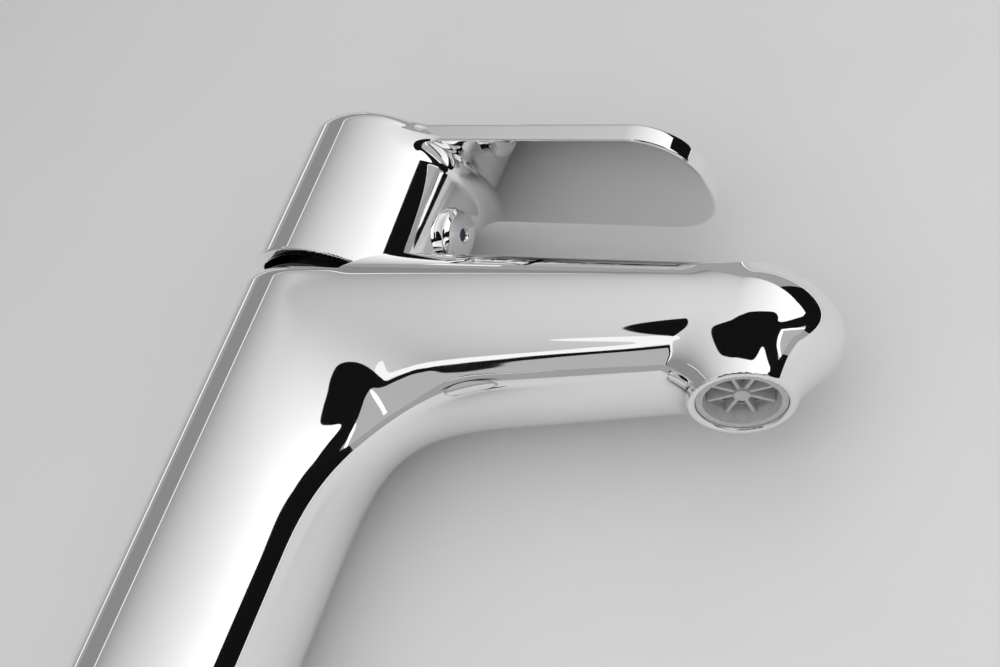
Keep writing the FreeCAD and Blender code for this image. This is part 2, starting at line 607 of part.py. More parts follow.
fill_sheet()
make_body()
make_mounting()
make_cartridge_shell()
make_discs()
make_rotor()
make_stem()
make_dome()
make_lever()
make_lever_trim()
make_aerator()
check_and_export()
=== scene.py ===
"""Looks of the single-lever bathroom mixer: chrome skins, trim, mounting set and the studio round them.

Lengths of the faucet are in millimetres in its own frame (+Z up the body, +X along the spout) and turn into
metres when a mesh is made. The faucet lies on its side on a pale sheet, as it would for a catalogue picture.
"""

import json
import math

import bmesh
import bpy
import numpy as np
from mathutils import Matrix, Quaternion, Vector


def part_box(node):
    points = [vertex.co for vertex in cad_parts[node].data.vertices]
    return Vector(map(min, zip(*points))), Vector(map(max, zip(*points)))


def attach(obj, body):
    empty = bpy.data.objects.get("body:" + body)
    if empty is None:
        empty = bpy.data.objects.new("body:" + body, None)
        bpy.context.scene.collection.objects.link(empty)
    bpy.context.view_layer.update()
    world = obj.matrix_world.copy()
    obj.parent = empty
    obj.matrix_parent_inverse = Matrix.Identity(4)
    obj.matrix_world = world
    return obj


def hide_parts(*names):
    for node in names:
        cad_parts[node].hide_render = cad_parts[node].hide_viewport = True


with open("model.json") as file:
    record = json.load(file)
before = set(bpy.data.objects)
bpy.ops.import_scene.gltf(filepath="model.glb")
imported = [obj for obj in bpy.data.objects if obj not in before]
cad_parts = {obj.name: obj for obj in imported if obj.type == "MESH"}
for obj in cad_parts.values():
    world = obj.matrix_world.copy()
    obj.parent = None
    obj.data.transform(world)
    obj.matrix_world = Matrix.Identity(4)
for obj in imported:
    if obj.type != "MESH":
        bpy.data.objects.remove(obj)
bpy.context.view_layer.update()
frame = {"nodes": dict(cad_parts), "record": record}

MM = 0.001


def side(node, corner, axis):
    """One coordinate of a CAD node's box, in millimetres: corner 0 is the lowest, 1 the highest."""
    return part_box(node)[corner][axis] / MM


# ---------------------------------------------------------------- sizes, in millimetres and radians
BODY_RADIUS = side("body", 1, 1)
BODY_FOOT = side("body", 0, 2)
RIM_HEIGHT = 132.0
RIM_ROUND, RIM_SHOULDER = 1.0, 5.0
RECESS_RADIUS = 25.9
POCKET = ((19.1, 118.0), (17.6, 100.0))          # radius and floor of each step
FOOT_HOLLOW = (20.8, 16.0)                       # radius and roof
FOOT_HOLLOW_START = BODY_FOOT - 9                # well under the foot, so that the hollow is open
INLETS = ((4.5, 7.0), (4.5, -7.0))
INLET_RADIUS, INLET_TOP = 4.5, 27.0
STUD_X, STUD_RADIUS = -11.0, 4.0

SPOUT_RISE = math.tan(math.radians(4.86))
SPOUT_HEIGHT = 122.1
SPOUT_WIDE = (24.9, 17.2)                        # half width at the body's axis and at the outlet
SPOUT_THICK, SPOUT_TAPER = 24.2, 0.0735          # half thickness at the axis, and what it loses along X
NOSE_START, NOSE_DIP = 95.0, 0.0012              # where the nose starts to thin, and how fast
NOSE_ROUND_X, NOSE_ROUND = 119.0, 17.7           # centre and radius of its end, seen from above
ELBOW_UNDER, ELBOW_LEAST, ELBOW_SIDE = 44.0, 0.05, 26.0
ELBOW_BACK, ELBOW_FADE = -8.0, 22.0              # where along X the flow starts, and how far it takes to grow
THINNEST = 3.0                                   # least half width and half thickness

OUTLET = (118.8, 114.4)
OUTLET_TILT = math.radians(18.8)
OUTLET_RADIUS, OUTLET_FILLET, OUTLET_EDGE = 11.75, 6.0, 0.5
MOUTH_RADIUS, MOUTH_DEPTH, BOSS_DEPTH = 10.25, 13.8, 25.0

CAP_FOOT = side("lever", 0, 2)
CAP_TOP = side("lever", 1, 2)
CAP_SHOULDER = 5.5
CAP_BORE, CAP_ROOF, CAP_EDGE = 22.0, 5.0, 0.4
RELIEF_X, RELIEF_ANGLE = -12.5, math.radians(16.0)
BOSS_RADIUS, BOSS_FOOT = 9.5, 150.0
PLUG_HEIGHT, PLUG_HOLE = 157.3, 4.0
PLUG_SHANK, PLUG_SEAT = 3.9, 24.6                # radius of the shank, and where the button starts along X
PLUG_GAP, PLUG_ROUND = 0.02, 0.25                # how far it stays inside the CAD plug, and its edge radius
INLAY_GAP, INLAY_DEPTH = 0.06, 0.7               # of the dish round the blue dot
BEVEL_START, BEVEL_END = 1.5, 0.75               # depths under the face between which the button's bevel runs
BEVEL_IN = 0.9                                   # how far in from the button's edge it ends

STUD_OUTER, STUD_ROOT, STUD_PITCH = 3.96, 3.35, 1.25
STUD_TURNS, STUD_ROWS = 36, 6                    # points round the stud, and rows in one pitch
CREST_FLAT = 1.25                                # over 1, it leaves the thread's crest flat
STUD_BEVEL = 0.3                                 # how far under the thread's root the bevelled ends start

PADDLE_END = side("lever", 1, 0)
PADDLE_HALF, PADDLE_CORNER = 18.0, 15.0
PADDLE_FOOT, PADDLE_THICK = 174.2, 5.5
PADDLE_DROOP = math.radians(0.8)
PADDLE_TOP_EDGE, PADDLE_FOOT_EDGE = 1.5, 0.8
PADDLE_FILLET_OVER, PADDLE_FILLET_UNDER = 1.5, 5.0
PADDLE_FILLET_FADE = 2.0                         # height over which one fillet turns into the other

CELL = 0.5
BLOCK = 8                                        # cells along one side of a block
BLOCK_REACH = 1.1                                # block sides from the surface within which a block is kept


# ---------------------------------------------------------------- distance fields
def length(*parts):
    """Length of a vector, from its parts."""
    return np.sqrt(sum(part * part for part in parts))


def join(a, b, radius):
    """Union of two fields, with a fillet of that radius between them."""
    inner = length(np.maximum(radius - a, 0), np.maximum(radius - b, 0))
    return np.maximum(radius, np.minimum(a, b)) - inner


def melt(a, b, reach):
    """Union of two fields that flow into each other, with no edge where the flow starts."""
    share = np.maximum(reach - np.abs(a - b), 0) / reach
    return np.minimum(a, b) - reach * share ** 3 / 6


def carve(a, b, radius):
    """Field a without field b, with the new edge rounded."""
    return -join(-a, b, radius)


def round_off(a, b, radius):
    """What two fields share, with its edge rounded. Both are given moved in by the radius."""
    return np.minimum(np.maximum(a, b), 0) + length(np.maximum(a, 0), np.maximum(b, 0)) - radius


def post(x, y, z, radius, low, high):
    """Upright cylinder."""
    return np.maximum(length(x, y) - radius, np.maximum(low - z, z - high))


def spout_field(x, y, z):
    """Tapered spout with its round nose, and the height over its axis and the distance from it."""
    over = z - SPOUT_HEIGHT - SPOUT_RISE * x
    wide = SPOUT_WIDE[0] + (SPOUT_WIDE[1] - SPOUT_WIDE[0]) * x / NOSE_ROUND_X
    thick = SPOUT_THICK - SPOUT_TAPER * x - NOSE_DIP * np.maximum(x - NOSE_START, 0) ** 2
    wide, thick = np.maximum(wide, THINNEST), np.maximum(thick, THINNEST)
    tip = np.maximum(x - NOSE_ROUND_X, 0) / NOSE_ROUND
    reach = length(tip, y / wide, over / thick)
    steep = length(tip / NOSE_ROUND, y / wide ** 2, over / thick ** 2)
    spout = (reach - 1) * reach / np.maximum(steep, 1e-6)
    return np.maximum(spout, -x), over, length(y, over)


def elbow_flow(x, y, over, across):
    """Reach of the flow between body and spout: wide below, less at the sides, least where walls run on."""
    lift = np.clip(over / np.maximum(across, 1e-6), -1, 1)
    crossing = 1 - y * y / np.maximum(length(x, y) * across, 1e-6)
    front = np.clip((x - ELBOW_BACK) / ELBOW_FADE, 0, 1)
    front = front * front * (3 - 2 * front)
    shoulder = ELBOW_SIDE * np.clip(np.abs(y) / BODY_RADIUS, 0, 1) ** 4 * np.maximum(lift, 0) ** 2
    return ELBOW_LEAST + (ELBOW_UNDER * (1 - lift) / 2 * np.maximum(crossing, 0) + shoulder) * front


def outlet_place(x, y, z):
    """Distance from the outlet's axis, and along it outwards from the rim."""
    dx, dz = x - OUTLET[0], z - OUTLET[1]
    outwards = dx * math.sin(OUTLET_TILT) - dz * math.cos(OUTLET_TILT)
    sideways = dx * math.cos(OUTLET_TILT) + dz * math.sin(OUTLET_TILT)
    return length(sideways, y), outwards


def body_field(x, y, z):
    """Casting: upright body, elbow, spout, nose and outlet, with its recess, pocket and hollow foot."""
    upright = carve(length(x, y) - BODY_RADIUS, RIM_HEIGHT - z, RIM_SHOULDER)
    spout, over, across = spout_field(x, y, z)
    solid = melt(upright, spout, elbow_flow(x, y, over, across))
    radius, outwards = outlet_place(x, y, z)
    boss = np.maximum(radius - OUTLET_RADIUS, -BOSS_DEPTH - outwards)
    solid = join(solid, boss, OUTLET_FILLET)
    near = radius < 2 * OUTLET_RADIUS
    solid = np.where(near, carve(solid, -outwards, OUTLET_EDGE), solid)
    mouth = np.maximum(radius - MOUTH_RADIUS, -MOUTH_DEPTH - outwards)
    solid = np.where(near, carve(solid, mouth, OUTLET_EDGE), solid)
    recess = np.maximum(length(x, y) - RECESS_RADIUS, RIM_HEIGHT - z)
    solid = carve(solid, recess, RIM_ROUND)
    for radius, floor in POCKET:
        solid = np.maximum(solid, -np.maximum(length(x, y) - radius, floor - z))
    solid = np.maximum(solid, -post(x, y, z, FOOT_HOLLOW[0], FOOT_HOLLOW_START, FOOT_HOLLOW[1]))
    for inlet_x, inlet_y in INLETS:
        solid = np.maximum(solid, -post(x - inlet_x, y - inlet_y, z, INLET_RADIUS, BODY_FOOT, INLET_TOP))
    solid = np.maximum(solid, -post(x - STUD_X, y, z, STUD_RADIUS, BODY_FOOT, INLET_TOP))
    return carve(solid, z - BODY_FOOT, OUTLET_EDGE)


def paddle_field(x, y, z):
    """Flat paddle with a round tip, carried back into the cap."""
    rise = z - PADDLE_FOOT + x * math.tan(PADDLE_DROOP)
    beyond = x - (PADDLE_END - PADDLE_CORNER)
    wide = np.maximum(np.abs(y) - (PADDLE_HALF - PADDLE_CORNER), 0)
    tip = length(wide, np.maximum(beyond, 0)) - PADDLE_CORNER
    outline = np.where(beyond < 0, np.abs(y) - PADDLE_HALF, tip)
    middle = PADDLE_THICK / 2
    edge = np.where(rise > middle, PADDLE_TOP_EDGE, PADDLE_FOOT_EDGE)
    slab = round_off(outline + edge, np.abs(rise - middle) - middle + edge, edge)
    return np.maximum(slab, BOSS_RADIUS - x)


def lever_field(x, y, z):
    """Cap and paddle in one, hollow underneath, with the stem's boss and the relief at the back."""
    cap = round_off(length(x, y) - (BODY_RADIUS - CAP_SHOULDER), z - (CAP_TOP - CAP_SHOULDER), CAP_SHOULDER)
    under = np.clip((PADDLE_FOOT + PADDLE_THICK / 2 - z) / PADDLE_FILLET_FADE, 0, 1)
    fillet = PADDLE_FILLET_OVER + (PADDLE_FILLET_UNDER - PADDLE_FILLET_OVER) * under
    solid = np.maximum(join(cap, paddle_field(x, y, z), fillet), z - CAP_TOP)
    solid = carve(solid, z - CAP_FOOT, CAP_EDGE)
    bore = np.maximum(length(x, y) - CAP_BORE, z - (CAP_TOP - CAP_ROOF))
    bore = np.maximum(bore, -np.maximum(length(x, y) - BOSS_RADIUS, BOSS_FOOT - z))
    solid = carve(solid, bore, CAP_EDGE)
    plug_hole = np.maximum(length(y, z - PLUG_HEIGHT) - PLUG_HOLE, BOSS_RADIUS - x)
    solid = np.maximum(solid, -plug_hole)
    relief = (z - CAP_FOOT) * math.cos(RELIEF_ANGLE) + (x - RELIEF_X) * math.sin(RELIEF_ANGLE)
    return carve(solid, relief, CAP_EDGE)


# ---------------------------------------------------------------- meshes
def slope_of(field, points, step=0.01):
    """Unit outward direction of a field at each point."""
    parts = []
    for axis in range(3):
        shift = np.zeros(3)
        shift[axis] = step
        parts.append(field(*(points + shift).T) - field(*(points - shift).T))
    parts = np.stack(parts, 1)
    return parts / np.maximum(np.linalg.norm(parts, axis=1), 1e-9)[:, None]


def settle(field, points, rounds=3):
    """Pull points onto the field's zero surface."""
    for _ in range(rounds):
        step = np.clip(field(*points.T), -CELL, CELL)
        points = points - slope_of(field, points) * step[:, None]
    return points


def skin(name, field, low, high):
    """Mesh of a field's surface: one vertex in each crossed cell, evened out and settled on the surface."""
    low = np.array(low, float)
    counts = np.ceil((np.array(high) - low) / (CELL * BLOCK)).astype(int)
    blocks = np.indices(counts).reshape(3, -1).T
    centres = low + (blocks + 0.5) * BLOCK * CELL
    blocks = blocks[np.abs(field(*centres.T)) < BLOCK * CELL * BLOCK_REACH]
    steps = np.indices((BLOCK + 1,) * 3).reshape(3, -1).T
    corners = low + (blocks[:, None] * BLOCK + steps[None]) * CELL
    inside = (field(*corners.reshape(-1, 3).T) < 0).reshape((len(blocks),) + (BLOCK + 1,) * 3)
    cells = counts * BLOCK + 1
    stride = np.array([cells[1] * cells[2], cells[2], 1])

    def window(dx, dy, dz):
        return inside[:, dx:dx + BLOCK, dy:dy + BLOCK, dz:dz + BLOCK]

    around = sum(window(*offset).astype(int) for offset in np.ndindex(2, 2, 2))
    found = np.argwhere((around > 0) & (around < 8))
    crossed = blocks[found[:, 0]] * BLOCK + found[:, 1:]
    order = np.argsort(crossed @ stride)
    crossed = crossed[order]
    keys = crossed @ stride
    quads = []
    for axis in range(3):
        ahead = [0, 0, 0]
        ahead[axis] = 1
        here, there = window(0, 0, 0), window(*ahead)
        first, second = stride[(axis + 1) % 3], stride[(axis + 2) % 3]
        for entering in (True, False):
            edge = np.argwhere((there & ~here) if entering else (here & ~there))
            key = (blocks[edge[:, 0]] * BLOCK + edge[:, 1:]) @ stride
            ring = [key - first - second, key - second, key, key - first]
            quads.append(np.stack(ring[::-1] if entering else ring, 1))
    quads = np.concatenate(quads)
    faces = np.searchsorted(keys, quads).clip(0, len(keys) - 1)
    faces = faces[(keys[faces] == quads).all(1)]
    points = settle(field, low + (crossed + 0.5) * CELL)
    ends = np.concatenate([faces[:, [k, (k + 1) % 4]] for k in range(4)])
    share = np.maximum(np.bincount(ends[:, 0], minlength=len(points)), 1)
    for _ in range(2):
        mean = np.stack([np.bincount(ends[:, 0], points[ends[:, 1], k], len(points)) / share
                         for k in range(3)], 1)
        points = settle(field, 0.5 * (points + mean), 2)
    mesh = bpy.data.meshes.new(name)
    mesh.from_pydata((points * MM).tolist(), [], faces.tolist())
    mesh.validate()
    mesh.shade_smooth()
    mesh.normals_split_custom_set_from_vertices(slope_of(field, points).tolist())
    return add_piece(name, mesh)


def add_piece(name, mesh):
    """Object with that mesh, in the scene."""
    piece = bpy.data.objects.new(name, mesh)
    bpy.context.scene.collection.objects.link(piece)
    return piece


def lathe(name, profile, place, turns=96):
    """Mesh turned about the Z axis of a matrix from (radius, height) points in millimetres."""
    made = bmesh.new()
    rings = []
    for radius, height in profile:
        if radius < 1e-6:
            rings.append([made.verts.new((0, 0, height * MM))] * turns)
            continue
        angles = [2 * math.pi * k / turns for k in range(turns)]
        rings.append([made.verts.new((radius * math.cos(a) * MM, radius * math.sin(a) * MM, height * MM))
                      for a in angles])
    for low, high in zip(rings, rings[1:]):
        for k in range(turns):
            corners = [low[k], low[(k + 1) % turns], high[(k + 1) % turns], high[k]]
            made.faces.new(list(dict.fromkeys(corners)))
    bmesh.ops.recalc_face_normals(made, faces=made.faces)
    made.transform(place)
    mesh = bpy.data.meshes.new(name)
    made.to_mesh(mesh)
    made.free()
    mesh.shade_smooth()
    return add_piece(name, mesh)


def soft_corner(before, corner, after, radius, steps=5):
    """Points of a rounded corner of a profile."""
    corner = Vector(corner)
    to_before, to_after = (Vector(before) - corner).normalized(), (Vector(after) - corner).normalized()
    half = to_before.angle(to_after) / 2
    reach = radius / math.tan(half)
    centre = corner + (to_before + to_after).normalized() * radius / math.sin(half)
    start, end = corner + to_before * reach - centre, corner + to_after * reach - centre
    return [tuple(centre + start.slerp(end, k / steps)) for k in range(steps + 1)]


def rounded_profile(points, radius):
    """Profile with every corner between its ends rounded."""
    made = [points[0]]
    for before, corner, after in zip(points, points[1:], points[2:]):
        made += soft_corner(before, corner, after, radius)
    return made + [points[-1]]


# ---------------------------------------------------------------- materials
NOISE_LOW, NOISE_HIGH = 0.3, 0.7                 # part of the noise's range that is spread out


def new_material(name, **sockets):
    """Material with its principled shader's sockets set, and its node tree."""
    made = bpy.data.materials.new(name)
    made.use_nodes = True
    tree = made.node_tree
    shader = tree.nodes["Principled BSDF"]
    for socket, value in sockets.items():
        shader.inputs[socket.replace("_", " ")].default_value = value
    return made, tree, shader


def grain(tree, scale, stretch=(1, 1, 1), detail=4.0):
    """Noise in the piece's own coordinates; scale is in lumps per metre."""
    where = tree.nodes.new("ShaderNodeTexCoord")
    shape = tree.nodes.new("ShaderNodeMapping")
    shape.inputs["Scale"].default_value = stretch
    noise = tree.nodes.new("ShaderNodeTexNoise")
    noise.inputs["Scale"].default_value = scale
    noise.inputs["Detail"].default_value = detail
    tree.links.new(where.outputs["Object"], shape.inputs["Vector"])
    tree.links.new(shape.outputs["Vector"], noise.inputs["Vector"])
    return noise.outputs["Fac"]


def spread(tree, source, low, high, target):
    """Map a noise onto a socket's range."""
    ranged = tree.nodes.new("ShaderNodeMapRange")
    ranged.inputs["From Min"].default_value, ranged.inputs["From Max"].default_value = NOISE_LOW, NOISE_HIGH
    ranged.inputs["To Min"].default_value, ranged.inputs["To Max"].default_value = low, high
    tree.links.new(source, ranged.inputs["Value"])
    tree.links.new(ranged.outputs["Result"], target)


def tint(tree, source, dark, light, target):
    """Colour between two shades by a noise."""
    ramp = tree.nodes.new("ShaderNodeValToRGB")
    ramp.color_ramp.elements[0].position, ramp.color_ramp.elements[1].position = NOISE_LOW, NOISE_HIGH
    ramp.color_ramp.elements[0].color = (*dark, 1)
    ramp.color_ramp.elements[1].color = (*light, 1)
    tree.links.new(source, ramp.inputs["Fac"])
    tree.links.new(ramp.outputs["Color"], target)


def relief(tree, source, depth, shader):
    """Bump of that depth in metres."""
    bump = tree.nodes.new("ShaderNodeBump")
    bump.inputs["Distance"].default_value = depth
    tree.links.new(source, bump.inputs["Height"])
    tree.links.new(bump.outputs["Normal"], shader.inputs["Normal"])


def surface(name, dark, light, rough, scale, depth=0.0, stretch=(1, 1, 1), **sockets):
    """Material whose colour, gloss and bump follow one grain."""
    made, tree, shader = new_material(name, **sockets)
    noise = grain(tree, scale, stretch)
    tint(tree, noise, dark, light, shader.inputs["Base Color"])
    spread(tree, noise, *rough, shader.inputs["Roughness"])
    if depth:
        relief(tree, noise, depth, shader)
    return made


MATERIALS = {
    "chrome": surface("Chrome", (0.90, 0.905, 0.915), (0.94, 0.94, 0.945), (0.02, 0.045), 35, Metallic=1.0),
    "black_rubber": surface("Rubber", (0.012, 0.012, 0.013), (0.03, 0.03, 0.031), (0.55, 0.8), 900, 0.00004),
    "steel": surface("ZincSteel", (0.50, 0.50, 0.51), (0.68, 0.68, 0.69), (0.22, 0.4), 600, 0.00001,
                     (1, 1, 0.15), Metallic=1.0),
    "brass": surface("Brass", (0.62, 0.44, 0.18), (0.80, 0.60, 0.29), (0.18, 0.34), 500, 0.00001,
                     (0.2, 0.2, 1), Metallic=1.0),
    "cartridge_plastic": surface("CartridgePlastic", (0.70, 0.70, 0.67), (0.78, 0.78, 0.75), (0.35, 0.5), 700,
                                 0.00001),
    "red_plastic": surface("StopPlastic", (0.50, 0.05, 0.03), (0.60, 0.08, 0.05), (0.35, 0.5), 700, 0.00001),
    "ceramic": surface("Ceramic", (0.80, 0.79, 0.74), (0.88, 0.87, 0.83), (0.08, 0.16), 1200),
    "dark_plastic": surface("DarkPlastic", (0.012, 0.012, 0.013), (0.022, 0.022, 0.024), (0.35, 0.55), 800,
                            0.00001),
    "blue_enamel": surface("BlueEnamel", (0.008, 0.012, 0.06), (0.012, 0.02, 0.09), (0.12, 0.2), 900),
    "grey_plastic": surface("AeratorPlastic", (0.44, 0.445, 0.45), (0.52, 0.525, 0.53), (0.38, 0.5), 900,
                            0.00001),
}


def paint(piece, slot):
    """Give a piece the material of a slot of the record."""
    piece.data.materials.clear()
    piece.data.materials.append(MATERIALS[slot])


# ---------------------------------------------------------------- pieces
def make_skins():
    """Polished skins of the body and the lever, in place of the plain CAD ones."""
    margin = 3 * CELL
    for name, field, node, rides in (("body_skin", body_field, "body", "faucet"),
                                     ("lever_skin", lever_field, "lever", "lever")):
        low, high = (np.array(corner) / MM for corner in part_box(node))
        piece = skin(name, field, low - margin, high + margin)
        paint(piece, "chrome")
        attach(piece, rides)
        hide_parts(node)


def make_plug():
    """Plug over the grub screw: a shank, a bevelled button and the dish that the blue dot sits in."""
    place = Matrix.Translation((0, 0, PLUG_HEIGHT * MM)) @ Matrix.Rotation(math.radians(90), 4, "Y")
    start, face = side("plug", 0, 0), side("plug", 1, 0)
    radius = (side("plug", 1, 2) - side("plug", 0, 2)) / 2
    inlay = (side("blue_dot", 1, 2) - side("blue_dot", 0, 2)) / 2
    rim, dish = radius - PLUG_GAP, inlay + INLAY_GAP
    profile = [(0, start + PLUG_GAP), (PLUG_SHANK, start + PLUG_GAP), (PLUG_SHANK, PLUG_SEAT),
               (rim, PLUG_SEAT), (rim, face - BEVEL_START), (radius - BEVEL_IN, face - BEVEL_END),
               (dish, face - PLUG_GAP), (dish, face - INLAY_DEPTH), (0, face - INLAY_DEPTH)]
    piece = lathe("plug_cover", rounded_profile(profile, PLUG_ROUND), place)
    paint(piece, "chrome")
    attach(piece, "lever")
    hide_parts("plug")


def make_stud():
    """Threaded stud: a rod whose radius follows a fine thread along a helix."""
    low, high = side("mounting_stud", 0, 2), side("mounting_stud", 1, 2)
    turns, rows = STUD_TURNS, int((high - low) / STUD_PITCH * STUD_ROWS)
    points, faces = [], []
    for row in range(rows + 1):
        height = low + (high - low) * row / rows
        end = min(height - low, high - height)
        for k in range(turns):
            angle = 2 * math.pi * k / turns
            phase = (height / STUD_PITCH - k / turns) % 1
            crest = 1 - abs(2 * phase - 1)
            thread = STUD_ROOT + (STUD_OUTER - STUD_ROOT) * min(1.0, CREST_FLAT * crest)
            radius = min(thread, STUD_ROOT - STUD_BEVEL + end)
            points.append((STUD_X + radius * math.cos(angle), radius * math.sin(angle), height))
    for row in range(rows):
        for k in range(turns):
            a, b = row * turns + k, row * turns + (k + 1) % turns
            faces.append((a, b, b + turns, a + turns))
    faces += [tuple(reversed(range(turns))), tuple(range(rows * turns, (rows + 1) * turns))]
    mesh = bpy.data.meshes.new("threaded_stud")
    mesh.from_pydata([tuple(v * MM for v in p) for p in points], [], faces)
    piece = add_piece("threaded_stud", mesh)
    paint(piece, "steel")
    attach(piece, "faucet")
    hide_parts("mounting_stud")


def paint_nodes():
    """Finish of every CAD node that stays in view, from the record."""
    slots = {row["node"]: row["material_slot"] for row in frame["record"]["subparts"]}
    for name, node in frame["nodes"].items():
        if not node.hide_render:
            node.data.materials.clear()
            node.data.materials.append(MATERIALS[slots[name]])


# ---------------------------------------------------------------- studio, in metres
CAMERA_PLACE = Vector((0.301277, -0.331863, -0.070415))
CAMERA_AZIMUTH, CAMERA_ELEVATION = math.radians(37.095), math.radians(-25.609)
CAMERA_ROLL = math.radians(21.304)
CAMERA_LENS, CAMERA_SENSOR = 69.33, 36.0         # in millimetres

SHEET_GAP, SHEET_REACH = 0.0002, 3.0
SHEET_Y = BODY_RADIUS * MM + SHEET_GAP
SHEET_DARK, SHEET_LIGHT = (0.775, 0.775, 0.775), (0.79, 0.79, 0.79)
WORLD_GREY = 0.36

TENT_HEIGHT = 0.35                               # from the body's axis to the light overhead
TOWARDS_CAMERA = Vector((0.783, 0, -0.622)).normalized()
TO_THE_RIGHT = Vector((0.622, 0, 0.783)).normalized()

# outlines seen from above: steps right and towards the camera, in tent heights
TENT_EDGE = ((-6, -5), (2.15, -5), (2.15, 0.35), (2.65, 1.9), (2.65, 6), (-6, 6))
DARK_WALL = ((2.15, -0.7), (2.15, 0.35), (2.65, 1.9), (2.65, 6))
GLOW_ENDS = ((-5.9, -4.9), (2.15, -4.9))
GLARE_EDGE = ((1.6, -5), (2.1, -5), (2.6, 6), (2.1, 6))

GLOW_LOW, GLOW_HIGH = 0.04, 0.13                 # heights of the light strip along the tent's far edge
GLARE_LIFT = 0.001                               # height of the glare over the sheet
DARK, GLOW, GLARE = 0.006, 1.0, 1.2              # brightness


def overhead(right, near, height=TENT_HEIGHT):
    """Point so many tent heights right and towards the camera, and so many metres above the body's axis."""
    flat = (TO_THE_RIGHT * right + TOWARDS_CAMERA * near) * TENT_HEIGHT
    return Vector((flat.x, -height, flat.z))


def glow(name, strength):
    """Material that only gives light."""
    made = bpy.data.materials.new(name)
    made.use_nodes = True
    tree = made.node_tree
    tree.nodes.clear()
    out = tree.nodes.new("ShaderNodeOutputMaterial")
    light = tree.nodes.new("ShaderNodeEmission")
    light.inputs["Strength"].default_value = strength
    tree.links.new(light.outputs["Emission"], out.inputs["Surface"])
    return made


def card(name, corners, strength, reflected=True, lights=True):
    """Flat light or dark card that the camera itself never sees."""
    mesh = bpy.data.meshes.new(name)
    mesh.from_pydata([tuple(corner) for corner in corners], [], [tuple(range(len(corners)))])
    piece = add_piece(name, mesh)
    mesh.materials.append(glow(name + "Glow", strength))
    piece.visible_camera = False
    piece.visible_glossy = reflected
    piece.visible_diffuse = lights
    piece.visible_shadow = False
    return piece


def flowing(points, steps=8):
    """Closed smooth curve through the points."""
    points = [np.array(point, float) for point in points]
    made = []
    for k in range(len(points)):
        before, start, end, after = (points[(k + shift) % len(points)] for shift in (-1, 0, 1, 2))
        for step in range(steps):
            t = step / steps
            square = 2 * before - 5 * start + 4 * end - after
            cube = 3 * start - before - 3 * end + after
            made.append(0.5 * (2 * start + (end - before) * t + square * t ** 2 + cube * t ** 3))
    return made


def make_tent():
    """Big diffuser overhead, brighter to the right and the front: one sheet lights, its twin is reflected."""
    # name, the way it brightens (right, near), where that starts and ends, the brightness there, if reflected
    twins = (("TentLight", (0.5, 0.85), (-1.5, 0.35), (0.5, 1.0), False),
             ("TentFace", (0.55, 0.55), (-1.4, 1.5), (0.27, 1.2), True))
    for name, (right, near), across, levels, reflected in twins:
        piece = card(name, [overhead(*corner) for corner in TENT_EDGE], 1.0, reflected, not reflected)
        tree = piece.data.materials[0].node_tree
        where = tree.nodes.new("ShaderNodeTexCoord")
        dot = tree.nodes.new("ShaderNodeVectorMath")
        dot.operation = "DOT_PRODUCT"
        dot.inputs[1].default_value = (right * TO_THE_RIGHT + near * TOWARDS_CAMERA) / TENT_HEIGHT
        ranged = tree.nodes.new("ShaderNodeMapRange")
        ranged.interpolation_type = "SMOOTHSTEP"
        ranged.inputs["From Min"].default_value, ranged.inputs["From Max"].default_value = across
        ranged.inputs["To Min"].default_value, ranged.inputs["To Max"].default_value = levels
        tree.links.new(where.outputs["Object"], dot.inputs[0])
        tree.links.new(dot.outputs["Value"], ranged.inputs["Value"])
        tree.links.new(ranged.outputs["Result"], tree.nodes["Emission"].inputs["Strength"])


# name, brightness, metres that it hangs under the tent, and its outline as above
CARDS = (
    # the darker far part of the tent, and the light seam along it
    ("TentBack", 0.27, 0.001, (
        (-6, -0.6), (-1.6, -0.62), (-0.9, -0.96), (-0.17, -1.48), (0.6, -2.1), (1.6, -2.9), (2.1, -4.9),
        (-6, -4.9))),
    ("TentSeam", 0.95, 0.002, (
        (-1.6, -0.6), (-0.9, -0.92), (-0.17, -1.44), (0.6, -2.06), (1.6, -2.86), (1.6, -2.94), (0.6, -2.15),
        (-0.17, -1.53), (-0.9, -1.01), (-1.6, -0.66))),
    # the tent's bright hem beside the opening
    ("TentHem", 1.0, 0.001, (
        (-6, 2.0), (-2.5, 0.66), (-1.5, 0.42), (-1.0, 0.42), (-0.68, 0.4), (-0.5, 0.15), (-0.4, 0.3),
        (-0.6, 0.62), (-1.5, 0.7), (-6, 2.6))),
    # the dark opening that the camera looks through
    ("CameraGap", DARK, 0.002, (
        (-6, 2.2), (-2.5, 0.8), (-1.5, 0.56), (-1.1, 0.56), (-0.7, 0.58), (-0.52, 0.44), (-0.4, 0.3),
        (-0.27, 0.15), (-0.14, 0.04), (0.0, -0.02), (0.13, -0.02), (0.3, 0.08), (0.46, 0.24), (0.64, 0.4),
        (0.84, 0.62), (0.82, 0.86), (0.72, 1.1), (0.85, 1.28), (1.2, 1.42), (2.0, 1.65), (2.75, 1.9),
        (2.75, 6), (-6, 6))),
    # the grey panel in front, its bright edge and the streak on it
    ("FrontPanel", 0.46, 0.004, (
        (-6, 2.45), (-2.5, 0.95), (-1.6, 0.69), (-1.0, 0.7), (-0.7, 0.72), (-0.5, 0.68), (-0.3, 0.6),
        (-0.12, 0.78), (0.0, 1.0), (0.25, 1.4), (0.45, 1.65), (0.8, 2.1), (1.3, 2.75), (3.6, 6), (-6, 6))),
    ("PanelEdge", 1.3, 0.006, (
        (0.43, 1.68), (0.8, 2.1), (1.3, 2.75), (3.6, 6), (3.2, 6), (1.0, 2.75), (0.6, 2.1))),
    ("FrontStreak", 1.1, 0.006, (
        (-0.4, 0.75), (-0.33, 0.85), (-1.0, 2.4), (-1.4, 3.4), (-1.7, 3.3), (-1.2, 2.3))),
)


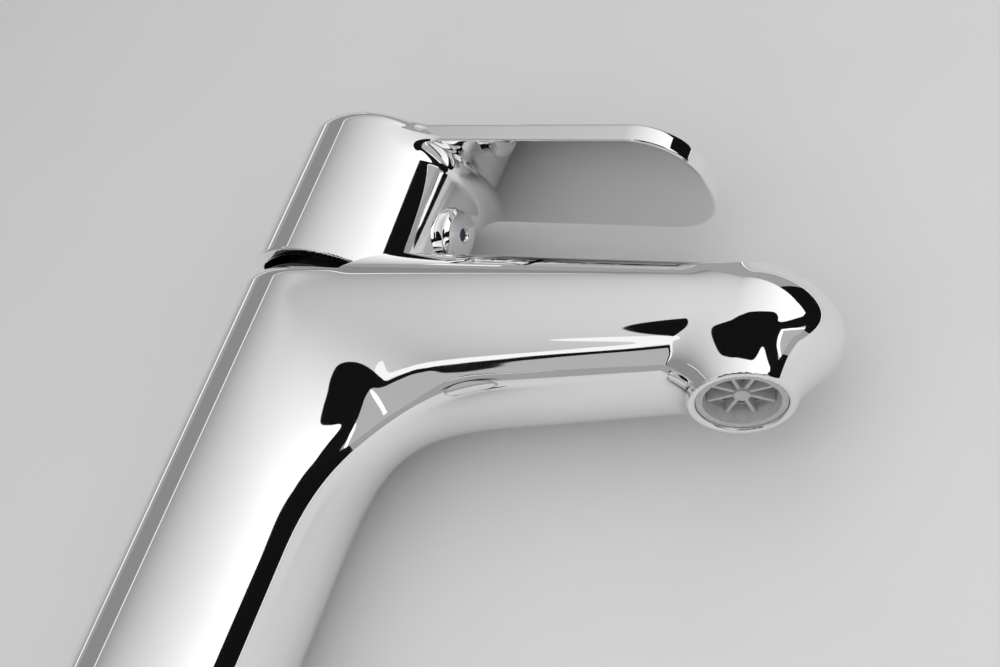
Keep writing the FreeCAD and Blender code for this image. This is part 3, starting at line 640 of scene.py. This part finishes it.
def make_cards():
    """Cards that hang under the tent, the dark wall to its right, the far glow and the glare on the sheet."""
    for name, strength, drop, outline in CARDS:
        corners = [overhead(*corner, TENT_HEIGHT - drop) for corner in flowing(outline)]
        card(name, corners, strength, lights=False)
    for k, (start, end) in enumerate(zip(DARK_WALL, DARK_WALL[1:])):
        corners = [overhead(*start), overhead(*end), overhead(*end, -SHEET_Y), overhead(*start, -SHEET_Y)]
        card("DarkSide%d" % k, corners, DARK)
    start, end = GLOW_ENDS
    corners = [overhead(*start, GLOW_LOW), overhead(*end, GLOW_LOW),
               overhead(*end, GLOW_HIGH), overhead(*start, GLOW_HIGH)]
    card("FarGlow", corners, GLOW, lights=False)
    corners = [overhead(*corner, GLARE_LIFT - SHEET_Y) for corner in GLARE_EDGE]
    card("SheetGlare", corners, GLARE, lights=False)


def make_sheet():
    """Pale paper sheet that the faucet lies on. Seen from behind it lets the view through."""
    mesh = bpy.data.meshes.new("Sheet")
    corners = [(x * SHEET_REACH, SHEET_Y, z * SHEET_REACH) for x, z in ((-1, -1), (1, -1), (1, 1), (-1, 1))]
    mesh.from_pydata(corners, [], [(0, 1, 2, 3)])
    piece = add_piece("Sheet", mesh)
    made, tree, shader = new_material("SheetPaper", Roughness=0.9)
    shader.inputs["Specular IOR Level"].default_value = 0.1
    noise = grain(tree, 25, detail=8.0)
    tint(tree, noise, SHEET_DARK, SHEET_LIGHT, shader.inputs["Base Color"])
    through = tree.nodes.new("ShaderNodeBsdfTransparent")
    mix = tree.nodes.new("ShaderNodeMixShader")
    facing = tree.nodes.new("ShaderNodeNewGeometry")
    tree.links.new(facing.outputs["Backfacing"], mix.inputs["Fac"])
    tree.links.new(shader.outputs["BSDF"], mix.inputs[1])
    tree.links.new(through.outputs["BSDF"], mix.inputs[2])
    tree.links.new(mix.outputs["Shader"], tree.nodes["Material Output"].inputs["Surface"])
    mesh.materials.append(made)


def make_world():
    """Even grey light from all round, and tones that the view leaves as they are."""
    world = bpy.data.worlds.new("Studio")
    world.use_nodes = True
    back = world.node_tree.nodes["Background"]
    back.inputs["Color"].default_value = (WORLD_GREY, WORLD_GREY, WORLD_GREY, 1)
    back.inputs["Strength"].default_value = 1.0
    bpy.context.scene.world = world
    bpy.context.scene.view_settings.view_transform = "Standard"


def make_camera():
    """The photograph's camera."""
    lens = bpy.data.cameras.new("Camera")
    lens.lens, lens.sensor_width = CAMERA_LENS, CAMERA_SENSOR
    lens.clip_start, lens.clip_end = 0.01, 20.0
    camera = bpy.data.objects.new("Camera", lens)
    bpy.context.scene.collection.objects.link(camera)
    level = math.cos(CAMERA_ELEVATION)
    back = Vector((math.sin(CAMERA_AZIMUTH) * level, -math.cos(CAMERA_AZIMUTH) * level,
                   math.sin(CAMERA_ELEVATION)))
    camera.rotation_mode = "QUATERNION"
    camera.rotation_quaternion = (-back).to_track_quat("-Z", "Y") @ Quaternion((0, 0, 1), CAMERA_ROLL)
    camera.location = CAMERA_PLACE
    bpy.context.scene.camera = camera


make_skins()
make_plug()
make_stud()
paint_nodes()
make_sheet()
make_tent()
make_cards()
make_world()
make_camera()
